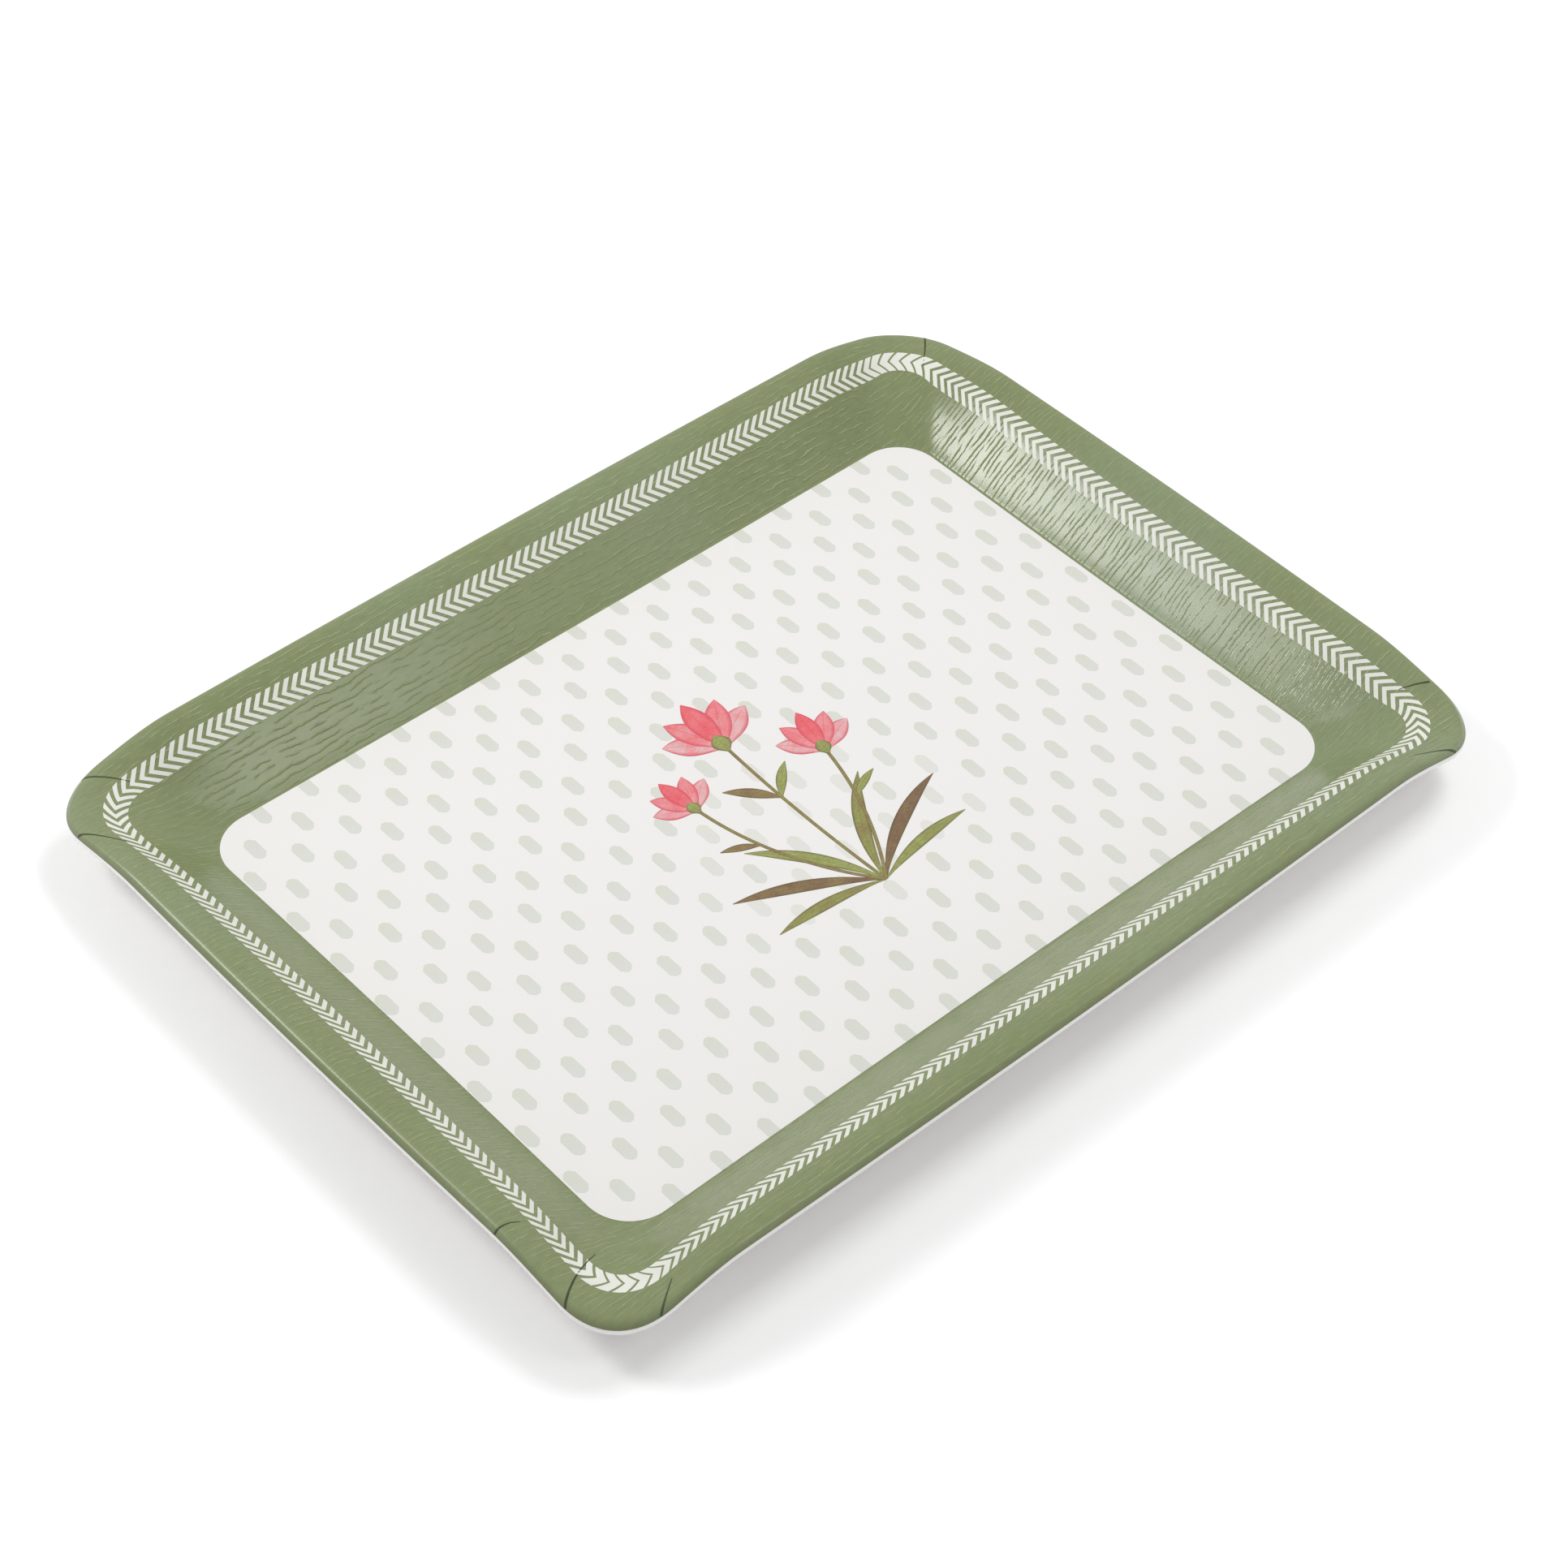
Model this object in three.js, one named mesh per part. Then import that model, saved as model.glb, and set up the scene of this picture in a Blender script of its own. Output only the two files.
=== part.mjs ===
// A rectangular melamine serving tray: a white moulded body, a grained green sheet on its wall and
// rim, and a smooth white sheet on its base. Millimetres, +Z up, +X along the tray's length, with the
// origin under the tray's middle on the surface that it stands on.
import * as THREE from 'three';

// Driving dimensions
const trayLength = 408;
const trayWidth = 303.6;
const baseLength = 330.6;          // the centre panel, edge to edge
const baseWidth = 223.4;
const baseCornerRadius = 17.5;
const rimCornerRadius = 25;
const rimSideBow = 1.7;            // how far the rim's sides bow out at their middles
const baseSideBow = -0.75;         // the centre panel's sides pinch in a little instead
const baseCrown = 2;               // rise of the base's middle above the panel's edge
const sheetThickness = 0.4;
const sheetGap = 0.3;              // clearance between a sheet and the body, and between the sheets
const bodyThickness = 2.7;
const sheetEdge = 0.1;             // from the tray's outermost line in to the green sheet's edge
const bodyEdge = 0.6;              // the body's rim past the sheet's edge, before it is set under the face
const bodyEdgeDrop = 0.7;
const footHeight = 1.6;
const footWidth = 5;
const footInset = 6;               // from the panel's edge in to the foot ring
const footDraft = 0.5;             // how much wider each side of the foot ring is at its root
const shortSideHeight = 0.93;      // a short side's height as a share of a long side's
const lengthwiseDipStart = 0.74;   // share of the half length where the rim dips towards the corner
const crosswiseDipStart = 0.62;    // the same across the width

// The upper face's section, from the centre panel's edge (share 0) to the green sheet's outer edge
// (share 1): heights above the panel's edge in the middle of a long side, and at a corner
const wallSection = [
  { share: 0, side: 0, corner: 0 },
  { share: 0.08, side: 2.0, corner: 1.6 },
  { share: 0.19, side: 5.5, corner: 4.3 },
  { share: 0.36, side: 11.2, corner: 8.4 },
  { share: 0.55, side: 17.2, corner: 12.0 },
  { share: 0.74, side: 21.8, corner: 14.6 },
  { share: 0.88, side: 23.7, corner: 15.3 },
  { share: 0.95, side: 23.4, corner: 15.0 },
  { share: 1, side: 22.0, corner: 13.5 },
];
const baseShares = [0.4, 0.75];    // rings across the base, as shares of the way out to the panel's edge

// Steps of one quarter of an outline
const shortSideSteps = 6;
const cornerSteps = 6;
const longSideSteps = 7;

const panelHeight = footHeight + bodyThickness + sheetGap + sheetThickness;
const bodyDepth = sheetThickness + sheetGap;      // the body's upper face under the finished face
const baseHalf = { length: baseLength / 2, width: baseWidth / 2 };
const rimHalf = {
  length: trayLength / 2 - sheetEdge - rimSideBow,
  width: trayWidth / 2 - sheetEdge - rimSideBow,
};

function mix(from, to, share) {
  return from + (to - from) * share;
}

// 1 along the middle of a side, falling smoothly to 0 at its end
function middleShare(position, dipStart) {
  return 1 - THREE.MathUtils.smoothstep(Math.abs(position), dipStart, 1);
}

// Shares along a straight half side, closer together towards the corner, where the rim dips
function straightShare(step, steps) {
  return Math.sin((Math.PI / 2) * (step / steps));
}

// One quarter of a round-cornered outline, from the middle of a short side to just short of the
// middle of a long side
function quarterOutline(half, radius) {
  const points = [];
  for (let i = 0; i < shortSideSteps; i += 1) {
    points.push([half.length, (half.width - radius) * straightShare(i, shortSideSteps)]);
  }
  for (let i = 0; i <= cornerSteps; i += 1) {
    const angle = (Math.PI / 2) * (i / cornerSteps);
    const x = half.length - radius + radius * Math.cos(angle);
    const y = half.width - radius + radius * Math.sin(angle);
    points.push([x, y]);
  }
  for (let i = longSideSteps - 1; i > 0; i -= 1) {
    points.push([(half.length - radius) * straightShare(i, longSideSteps), half.width]);
  }
  return points;
}

// The whole outline, counter-clockwise seen from above
function fullOutline(half, radius) {
  const quarter = quarterOutline(half, radius);
  const mirrored = quarter.slice(1).reverse().map(([x, y]) => [-x, y]);
  const upperHalf = [...quarter, [0, half.width], ...mirrored];
  return [...upperHalf, ...upperHalf.map(([x, y]) => [-x, -y])];
}

// One ring of points. The sides bow by the given amount, and the height runs from the corner's to
// the side's.
function ring({ half, radius, bow, side, corner }) {
  return fullOutline(half, radius).map(([x, y]) => {
    const u = x / half.length;
    const v = y / half.width;
    const onShortSide = Math.abs(x) > half.length - radius;
    const onLongSide = Math.abs(y) > half.width - radius;
    const outX = onShortSide ? Math.sign(x) * bow * Math.cos((Math.PI / 2) * v) : 0;
    const outY = onLongSide ? Math.sign(y) * bow * Math.cos((Math.PI / 2) * u) : 0;
    const height = corner
      + (side - corner) * middleShare(u, lengthwiseDipStart)
      + (side * shortSideHeight - corner) * middleShare(v, crosswiseDipStart);
    return new THREE.Vector3(x + outX, y + outY, panelHeight + height);
  });
}

// A ring of the wall's upper face
function wallRing({ share, side, corner }) {
  return ring({
    half: {
      length: mix(baseHalf.length, rimHalf.length, share),
      width: mix(baseHalf.width, rimHalf.width, share),
    },
    radius: mix(baseCornerRadius, rimCornerRadius, share),
    bow: mix(baseSideBow, rimSideBow, share),
    side,
    corner,
  });
}

// A ring of the base's upper face, which is gently crowned
function baseRing(share) {
  const points = ring({
    half: { length: baseHalf.length * share, width: baseHalf.width * share },
    radius: baseCornerRadius * share,
    bow: baseSideBow * share,
    side: 0,
    corner: 0,
  });
  points.forEach((point) => {
    const u = point.x / baseHalf.length;
    const v = point.y / baseHalf.width;
    point.z += baseCrown * Math.max(1 - u * u, 0) * Math.max(1 - v * v, 0);
  });
  return points;
}

// Each ring's points moved down along the face's normals
function sunk(rings, depth) {
  return rings.map((points, j) => points.map((point, i) => {
    const next = points[(i + 1) % points.length];
    const previous = points[(i + points.length - 1) % points.length];
    const inner = rings[Math.max(j - 1, 0)][i];
    const outer = rings[Math.min(j + 1, rings.length - 1)][i];
    const along = new THREE.Vector3().subVectors(next, previous);
    const outwards = new THREE.Vector3().subVectors(outer, inner);
    const normal = new THREE.Vector3().crossVectors(outwards, along).normalize();
    return point.clone().addScaledVector(normal, -depth);
  }));
}

// The outline of a ring at an even height
function levelRing(half, radius, height) {
  return fullOutline(half, radius).map(([x, y]) => new THREE.Vector3(x, y, height));
}

// A closed body through rings of equally many points. Where the path of rings starts and ends over
// the tray's middle, middleHeights closes both ends with a fan. Without it the last ring joins the
// first.
function loft(rings, middleHeights) {
  const count = rings[0].length;
  const vertices = rings.flat().flatMap((point) => [point.x, point.y, point.z]);
  const indices = [];
  const bands = middleHeights ? rings.length - 1 : rings.length;
  for (let j = 0; j < bands; j += 1) {
    const here = j * count;
    const there = ((j + 1) % rings.length) * count;
    for (let i = 0; i < count; i += 1) {
      const k = (i + 1) % count;
      indices.push(here + i, there + i, there + k);
      indices.push(here + i, there + k, here + k);
    }
  }
  if (middleHeights) {
    const lastRing = (rings.length - 1) * count;
    vertices.push(0, 0, middleHeights[0], 0, 0, middleHeights[1]);
    for (let i = 0; i < count; i += 1) {
      const k = (i + 1) % count;
      indices.push(rings.length * count, i, k);
      indices.push(rings.length * count + 1, lastRing + k, lastRing + i);
    }
  }
  const geometry = new THREE.BufferGeometry();
  geometry.setAttribute('position', new THREE.Float32BufferAttribute(vertices, 3));
  geometry.setIndex(indices);
  geometry.computeVertexNormals();
  return geometry;
}

function namedMesh(name, geometry, color, roughness) {
  const mesh = new THREE.Mesh(
    geometry,
    new THREE.MeshStandardMaterial({ color, roughness, metalness: 0 }),
  );
  mesh.name = name;
  return mesh;
}

const middle = panelHeight + baseCrown;
const wall = wallSection.map(wallRing);

// The white moulding under both sheets, with its foot ring
function trayBody() {
  const top = wallSection.at(-1);
  const bodyRim = ring({
    half: { length: rimHalf.length + bodyEdge, width: rimHalf.width + bodyEdge },
    radius: rimCornerRadius + bodyEdge,
    bow: rimSideBow,
    side: top.side - bodyEdgeDrop,
    corner: top.corner - bodyEdgeDrop,
  });
  const face = [...baseShares.map(baseRing), ...wall, bodyRim];
  const upper = sunk(face, bodyDepth);
  const lower = sunk(face, bodyDepth + bodyThickness);
  const footRing = (inset, height) => levelRing(
    { length: baseHalf.length - inset, width: baseHalf.width - inset },
    baseCornerRadius - inset,
    height,
  );
  const foot = [
    footRing(footInset - footDraft, footHeight),
    footRing(footInset, 0),
    footRing(footInset + footWidth, 0),
    footRing(footInset + footWidth + footDraft, footHeight),
  ];
  const underWall = lower.slice(baseShares.length).reverse();
  const underBase = lower.slice(0, baseShares.length).reverse();
  const middleHeights = [middle - bodyDepth, middle - bodyDepth - bodyThickness];
  return loft([...upper, ...underWall, ...foot, ...underBase], middleHeights);
}

// The grained green sheet on the wall and the rim
function borderSheet() {
  const gapShare = sheetGap / (rimHalf.length - baseHalf.length);
  const innerEdge = wallRing({ ...wallSection[0], share: gapShare });
  const face = [innerEdge, ...wall.slice(1)];
  return loft([...face, ...sunk(face, sheetThickness).reverse()]);
}

// The smooth white sheet on the base
function centreSheet() {
  const face = [...baseShares.map(baseRing), wall[0]];
  const middleHeights = [middle, middle - sheetThickness];
  return loft([...face, ...sunk(face, sheetThickness).reverse()], middleHeights);
}

const tray = new THREE.Group();
tray.add(namedMesh('tray_body', trayBody(), 0xefeeec, 0.35));
tray.add(namedMesh('border_foil', borderSheet(), 0x7c8a62, 0.38));
tray.add(namedMesh('centre_foil', centreSheet(), 0xefeeec, 0.2));

export default tray;
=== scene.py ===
import bpy
import math
import random
import numpy as np
from mathutils import Matrix, Vector
from mathutils.bvhtree import BVHTree


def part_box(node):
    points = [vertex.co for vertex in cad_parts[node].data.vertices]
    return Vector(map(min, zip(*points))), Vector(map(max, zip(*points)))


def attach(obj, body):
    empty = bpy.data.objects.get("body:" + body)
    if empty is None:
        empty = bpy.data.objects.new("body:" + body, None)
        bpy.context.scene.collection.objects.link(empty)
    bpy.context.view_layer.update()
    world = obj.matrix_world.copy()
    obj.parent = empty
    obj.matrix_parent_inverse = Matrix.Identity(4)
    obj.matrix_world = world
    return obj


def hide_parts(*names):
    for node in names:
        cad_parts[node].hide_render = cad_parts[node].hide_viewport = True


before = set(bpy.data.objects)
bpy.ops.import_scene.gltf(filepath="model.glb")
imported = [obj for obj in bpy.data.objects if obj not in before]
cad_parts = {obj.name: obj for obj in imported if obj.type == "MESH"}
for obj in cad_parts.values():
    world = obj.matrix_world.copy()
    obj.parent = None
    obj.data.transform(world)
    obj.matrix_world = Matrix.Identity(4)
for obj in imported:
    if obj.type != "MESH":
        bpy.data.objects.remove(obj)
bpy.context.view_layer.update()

mm = 0.001

# A moulded melamine tray. Lengths below are in millimetres and turn into metres when a mesh is made.
panelBox = [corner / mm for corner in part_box("centre_foil")]
borderBox = [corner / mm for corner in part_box("border_foil")]

trayShape = {
    "panelReach": 0.2,         # the panel's true corners past its faceted box
    "panelCorner": 17.5,       # radius of the white panel's corners
    "panelBow": -0.75,         # the panel's sides pinch in at their middles
    "rimCorner": 25.0,
    "rimBow": 1.7,             # the rim's sides bow out instead
    "rimSquareness": 2.2,      # 2 is a round corner, more is squarer
    "crown": 2.0,              # rise of the panel's middle
    "footHeight": 1.6,
    "footWidth": 5.0,
    "footInset": 6.0,
    "footCorner": 2.0,         # smallest radius at the foot ring's corners
    "sheet": 0.4,              # thickness of the decor sheets
    "sheetGap": 0.3,           # between the solid model's body and sheets
    "bedding": 0.05,           # how far the sheets sink into the moulding
    "body": 2.7,
    "underEdge": 0.9,          # share of the wall at which the underside starts
    "shortSide": 0.93,         # a short side's height against a long side's
    "dipAlong": 0.74,          # where the rim starts to dip, as a share of the half length
    "dipAcross": 0.62,
}
# share of the way from the panel out to the green sheet's edge, height at mid-side, height at a corner
wallSection = [
    (0.00, 0.0, 0.0),
    (0.012, 0.08, 0.07),
    (0.035, 0.72, 0.6),
    (0.08, 2.0, 1.6),
    (0.19, 5.5, 4.3),
    (0.36, 11.2, 8.4),
    (0.55, 17.2, 12.0),
    (0.74, 21.8, 14.6),
    (0.87, 23.55, 15.2),
    (0.93, 23.55, 15.1),
    (0.97, 22.9, 14.4),
    (1.00, 21.2, 12.7),
]
# the white lip under the green sheet's edge: outwards and up from that edge
lipSection = [
    (-0.1, -0.25), (0.0, -0.5), (0.08, -1.0), (0.08, -1.7), (-0.1, -2.3),
    (-0.55, -2.75), (-1.2, -2.85), (-1.85, -2.55), (-2.4, -1.9),
]
# the green sheet's cut edge: outwards and down from its outermost line
cutEdgeSection = [(0.05, 0.05), (0.08, 0.2)]
# the foot ring's rounded flank: how far in from its outer line, and height
footFlank = [(-1.2, 1.7), (-0.4, 1.0), (0.1, 0.25), (0.7, 0.0)]
meshSteps = {"shortSide": 36, "corner": 22, "longSide": 54, "edge": 7, "wall": 32, "rim": 14, "panel": 7}

panelHalf = np.array([panelBox[1].x, panelBox[1].y]) + trayShape["panelReach"]
rimHalf = np.array([borderBox[1].x, borderBox[1].y]) - trayShape["rimBow"]
sheetRise = trayShape["sheetGap"] + trayShape["sheet"]
panelHeight = trayShape["footHeight"] + trayShape["body"] + sheetRise
panelCore = panelHalf * 0.86       # the rectangle in the panel's middle, which a plain grid fills
crestShare = 0.86                  # where the wall turns over into the rim


def mix(start, end, share):
    return start + (end - start) * share


def smoothStep(value, start, end):
    share = np.clip((value - start) / (end - start), 0, 1)
    return share * share * (3 - 2 * share)


# A smooth curve through a few points
def smoothThrough(xs, ys, x):
    xs = np.asarray(xs, float)
    ys = np.asarray(ys, float)
    slopes = np.gradient(ys, xs)
    i = np.clip(np.searchsorted(xs, x, side="right") - 1, 0, len(xs) - 2)
    step = xs[i + 1] - xs[i]
    t = (x - xs[i]) / step
    rise = ys[i] * (1 + 2 * t) * (1 - t) ** 2 + ys[i + 1] * t * t * (3 - 2 * t)
    return rise + slopes[i] * step * t * (1 - t) ** 2 - slopes[i + 1] * step * t * t * (1 - t)


# A round-cornered outline, counter-clockwise from the middle of the right-hand short side
def outline(half, radius, squareness=2.0):
    shortSteps, cornerSteps, longSteps = (meshSteps[k] for k in ("shortSide", "corner", "longSide"))
    quarter = []
    for i in range(shortSteps):
        quarter.append((half[0], (half[1] - radius) * i / shortSteps))
    for i in range(cornerSteps + 1):
        angle = math.pi / 2 * i / cornerSteps
        across = abs(math.cos(angle)) ** (2 / squareness)
        along = abs(math.sin(angle)) ** (2 / squareness)
        quarter.append((half[0] - radius + radius * across, half[1] - radius + radius * along))
    for i in range(longSteps - 1, 0, -1):
        quarter.append(((half[0] - radius) * i / longSteps, half[1]))
    mirrored = [(-x, y) for x, y in reversed(quarter[1:])]
    upper = np.array(quarter + [(0.0, half[1])] + mirrored)
    return np.concatenate([upper, -upper])


# The same outline with its sides bowed
def bowedOutline(half, radius, bow, squareness=2.0):
    points = outline(half, radius, squareness)
    u = points[:, 0] / half[0]
    v = points[:, 1] / half[1]
    bowX, bowY = (bow, bow) if np.isscalar(bow) else bow
    onShort = np.abs(points[:, 0]) > half[0] - radius - 1e-6
    onLong = np.abs(points[:, 1]) > half[1] - radius - 1e-6
    points[:, 0] += np.where(onShort, np.sign(u) * bowX * np.cos(math.pi / 2 * v), 0)
    points[:, 1] += np.where(onLong, np.sign(v) * bowY * np.cos(math.pi / 2 * u), 0)
    return points, u, v


def wallRing(share):
    shares, sides, corners = zip(*wallSection)
    side = smoothThrough(shares, sides, share)
    corner = smoothThrough(shares, corners, share)
    points, u, v = bowedOutline(
        mix(panelHalf, rimHalf, share),
        mix(trayShape["panelCorner"], trayShape["rimCorner"], share),
        mix(trayShape["panelBow"], trayShape["rimBow"], share),
        mix(2.0, trayShape["rimSquareness"], share),
    )
    alongDip = 1 - smoothStep(np.abs(u), trayShape["dipAlong"], 1)
    acrossDip = 1 - smoothStep(np.abs(v), trayShape["dipAcross"], 1)
    rise = (side - corner) * alongDip + (side * trayShape["shortSide"] - corner) * acrossDip
    return np.column_stack([points, panelHeight + corner + rise])


def crownHeight(x, y):
    u = np.clip(x / panelHalf[0], -1, 1)
    v = np.clip(y / panelHalf[1], -1, 1)
    return panelHeight + trayShape["crown"] * (1 - u * u) * (1 - v * v)


# The panel as rings that turn from the rounded edge into a plain rectangle, which a grid can fill
def panelRings(inset=0.0):
    edge = bowedOutline(panelHalf - inset, trayShape["panelCorner"] - inset, trayShape["panelBow"])[0]
    halfCorner = meshSteps["corner"] // 2
    alongCount = meshSteps["longSide"] + halfCorner
    acrossCount = meshSteps["shortSide"] + halfCorner
    coreX, coreY = panelCore
    upper = [(coreX, coreY * i / acrossCount) for i in range(acrossCount)]
    upper += [(coreX * i / alongCount, coreY) for i in range(alongCount, -alongCount, -1)]
    upper += [(-coreX, coreY * i / acrossCount) for i in range(acrossCount, 0, -1)]
    rectangle = np.concatenate([np.array(upper), -np.array(upper)])
    rings = []
    for i in range(meshSteps["panel"] + 1):
        plan = mix(rectangle, edge, (i / meshSteps["panel"]) ** 0.8)
        rings.append(np.column_stack([plan, crownHeight(plan[:, 0], plan[:, 1])]))
    return rings, alongCount, acrossCount


# Unit normals of a stack of rings, pointing out of the upper face
def ringNormals(rings):
    stack = np.array(rings)
    along = np.roll(stack, -1, axis=1) - np.roll(stack, 1, axis=1)
    outwards = np.gradient(stack, axis=0)
    normals = np.cross(outwards, along)
    return normals / np.linalg.norm(normals, axis=2, keepdims=True)


def sunk(rings, depth):
    return list(np.array(rings) - ringNormals(rings) * depth)


def meshObject(name, vertices, faces, sharpAngle=40):
    mesh = bpy.data.meshes.new(name)
    mesh.from_pydata([Vector(v) * mm for v in vertices], [], faces)
    mesh.validate()
    mesh.polygons.foreach_set("use_smooth", [True] * len(mesh.polygons))
    mesh.set_sharp_from_angle(angle=math.radians(sharpAngle))
    mesh.update()
    obj = bpy.data.objects.new(name, mesh)
    bpy.context.scene.collection.objects.link(obj)
    return obj


# Quads between rings that follow one another. With closed=True the last ring joins the first.
def ringFaces(ringCount, count, closed):
    faces = []
    for j in range(ringCount if closed else ringCount - 1):
        here = j * count
        there = (j + 1) % ringCount * count
        for i in range(count):
            k = (i + 1) % count
            faces.append((here + i, there + i, there + k, here + k))
    return faces


# Fills the rectangle inside the first of the panel's rings. Returns the new vertices and the faces.
def gridFill(ringStart, firstNew, alongCount, acrossCount, heightAt, flip):
    columns = 2 * alongCount
    rows = 2 * acrossCount
    count = 2 * (columns + rows)

    def ringIndex(column, row):
        if column == columns:
            return ringStart + (row - acrossCount) % count
        if row == rows:
            return ringStart + acrossCount + columns - column
        if column == 0:
            return ringStart + acrossCount + columns + rows - row
        return ringStart + acrossCount + columns + rows + column

    vertices = []
    index = {}
    for row in range(rows + 1):
        for column in range(columns + 1):
            if row in (0, rows) or column in (0, columns):
                index[column, row] = ringIndex(column, row)
                continue
            x = panelCore[0] * (column / alongCount - 1)
            y = panelCore[1] * (row / acrossCount - 1)
            index[column, row] = firstNew + len(vertices)
            vertices.append((x, y, heightAt(x, y)))
    faces = []
    for row in range(rows):
        for column in range(columns):
            corners = [(column, row), (column + 1, row), (column + 1, row + 1), (column, row + 1)]
            face = tuple(index[c] for c in corners)
            faces.append(face[::-1] if flip else face)
    return vertices, faces


# rings stand closer together at the panel's edge and round the rim
wallShares = np.unique(np.concatenate([
    np.linspace(0, 0.05, meshSteps["edge"]),
    np.linspace(0.05, crestShare, meshSteps["wall"]),
    np.linspace(crestShare, 1, meshSteps["rim"]),
]))
wallRings = [wallRing(share) for share in wallShares]
panelFace, alongCount, acrossCount = panelRings()
ringSize = len(wallRings[0])
print("face worked out:", ringSize, "points around,", len(wallRings), "rings up the wall")


# Level unit vectors out of a ring of points, seen from above
def levelOutwards(ring):
    along = np.roll(ring, -1, axis=0) - np.roll(ring, 1, axis=0)
    outwards = np.column_stack([along[:, 1], -along[:, 0], np.zeros(len(ring))])
    return outwards / np.linalg.norm(outwards, axis=1, keepdims=True)


# Closes a stack of rings over the panel's middle and under it
def closedStack(name, rings, topHeight, underHeight):
    vertices = list(np.concatenate(rings))
    faces = ringFaces(len(rings), ringSize, closed=False)
    for start, heightAt, flip in ((0, topHeight, False), ((len(rings) - 1) * ringSize, underHeight, True)):
        extra, extraFaces = gridFill(start, len(vertices), alongCount, acrossCount, heightAt, flip)
        vertices += extra
        faces += extraFaces
    return meshObject(name, vertices, faces)


# The foot ring, from its outer root over the face that it stands on to its inner root
def footRings():
    inset = trayShape["footInset"]
    outer = [(inset + step, height) for step, height in footFlank]
    inner = [(inset + trayShape["footWidth"] - step, height) for step, height in reversed(footFlank)]
    rings = []
    for away, height in outer + inner:
        radius = max(trayShape["panelCorner"] - away, trayShape["footCorner"])
        plan = bowedOutline(panelHalf - away, radius, 0.0)[0]
        rings.append(np.column_stack([plan, np.full(len(plan), height)]))
    return rings


# The white moulding: the face under the sheets, a rounded lip, the underside and its foot ring
def trayMoulding():
    face = panelFace[:-1] + wallRings
    bedding = trayShape["sheet"] - trayShape["bedding"]
    depth = trayShape["body"] + trayShape["sheet"]
    edge = wallRings[-1]
    outwards = levelOutwards(edge)
    lip = [edge + outwards * out + np.array([0, 0, up]) for out, up in lipSection]
    lower = sunk(face, depth)
    underPanel = lower[:len(panelFace) - 2][::-1]
    underWall = [
        ring for ring, share in zip(lower[len(panelFace) - 1:], wallShares) if share < trayShape["underEdge"]
    ][::-1]
    rings = sunk(face, bedding) + lip + underWall + footRings() + underPanel
    return closedStack(
        "tray_moulding",
        rings,
        lambda x, y: crownHeight(x, y) - bedding,
        lambda x, y: crownHeight(x, y) - depth,
    )


# The green sheet, wrapped a little way round the rim
def borderSheet():
    bottom = sunk(wallRings, trayShape["sheet"])
    edge = wallRings[-1]
    outwards = edge - wallRings[-2]
    outwards /= np.linalg.norm(outwards, axis=1, keepdims=True)
    down = (edge - bottom[-1]) / trayShape["sheet"]
    cutEdge = [edge + outwards * out - down * fall for out, fall in cutEdgeSection]
    rings = wallRings + cutEdge + bottom[::-1]
    sheet = meshObject("border_sheet", np.concatenate(rings), ringFaces(len(rings), ringSize, closed=True))
    firstCut = len(wallRings) * ringSize
    for face in sheet.data.polygons[firstCut:firstCut + len(cutEdge) * ringSize]:
        face.material_index = 1     # the cut edge is coloured darker than the sheet's face
    # the material reads how far over the crest a point is, from 0 to 1
    overCrest = np.clip((wallShares - crestShare) / (1 - crestShare), 0, 1)
    overCrest = np.concatenate([overCrest, np.ones(len(cutEdge)), overCrest[::-1]])
    rim = sheet.data.attributes.new("rim", "FLOAT", "POINT")
    rim.data.foreach_set("value", np.repeat(overCrest, ringSize).astype(np.float32))
    return sheet


# The smooth white sheet on the base
def centreSheet():
    face = panelRings(inset=0.06)[0]
    bottom = sunk(face, trayShape["sheet"])
    return closedStack(
        "centre_sheet",
        face + bottom[::-1],
        crownHeight,
        lambda x, y: crownHeight(x, y) - trayShape["sheet"],
    )


moulding = trayMoulding()
border = borderSheet()
centre = centreSheet()
print("tray built:", len(moulding.data.polygons) + len(border.data.polygons), "faces")

faceTrees = []
for sheetObject in (centre, border):
    corners = [v.co.copy() for v in sheetObject.data.vertices]
    faceTrees.append(BVHTree.FromPolygons(corners, [p.vertices[:] for p in sheetObject.data.polygons]))


# Where a point in plan lies on the upper face. A point just past the rim may be pulled back on to it.
def faceSpot(x, y, pulls=0):
    best = None
    for tree in faceTrees:
        spot, normal, _, _ = tree.ray_cast(Vector((x * mm, y * mm, 1)), Vector((0, 0, -1)))
        if spot is not None and (best is None or spot.z > best[0].z * mm):
            best = (spot / mm, normal)
    if best is None and pulls:
        return faceSpot(x * 0.9985, y * 0.9985, pulls - 1)
    return best


# 1 where a patch's rows and columns turn counter-clockwise seen from above, -1 the other way
def patchTurn(grid):
    across = grid[:-1, 1:] - grid[:-1, :-1]
    along = grid[1:, :-1] - grid[:-1, :-1]
    area = (across[..., 0] * along[..., 1] - across[..., 1] * along[..., 0]).sum()
    return 1 if area > 0 else -1


# A patch's top and underside, and the narrow wall round it
def patchFaces(start, rows, columns, turn):
    size = rows * columns
    faces = []
    for j in range(rows - 1):
        for i in range(columns - 1):
            a = start + j * columns + i
            top = (a, a + 1, a + columns + 1, a + columns)[::turn]
            faces.append(top)
            faces.append(tuple(size + v for v in top)[::-1])
    loop = list(range(columns - 1))
    loop += [j * columns + columns - 1 for j in range(rows - 1)]
    loop += [(rows - 1) * columns + i for i in range(columns - 1, 0, -1)]
    loop += [j * columns for j in range(rows - 1, 0, -1)]
    for a, b in zip(loop, loop[1:] + loop[:1]):
        faces.append((start + a, start + size + a, start + size + b, start + b)[::turn])
    return faces


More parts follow.
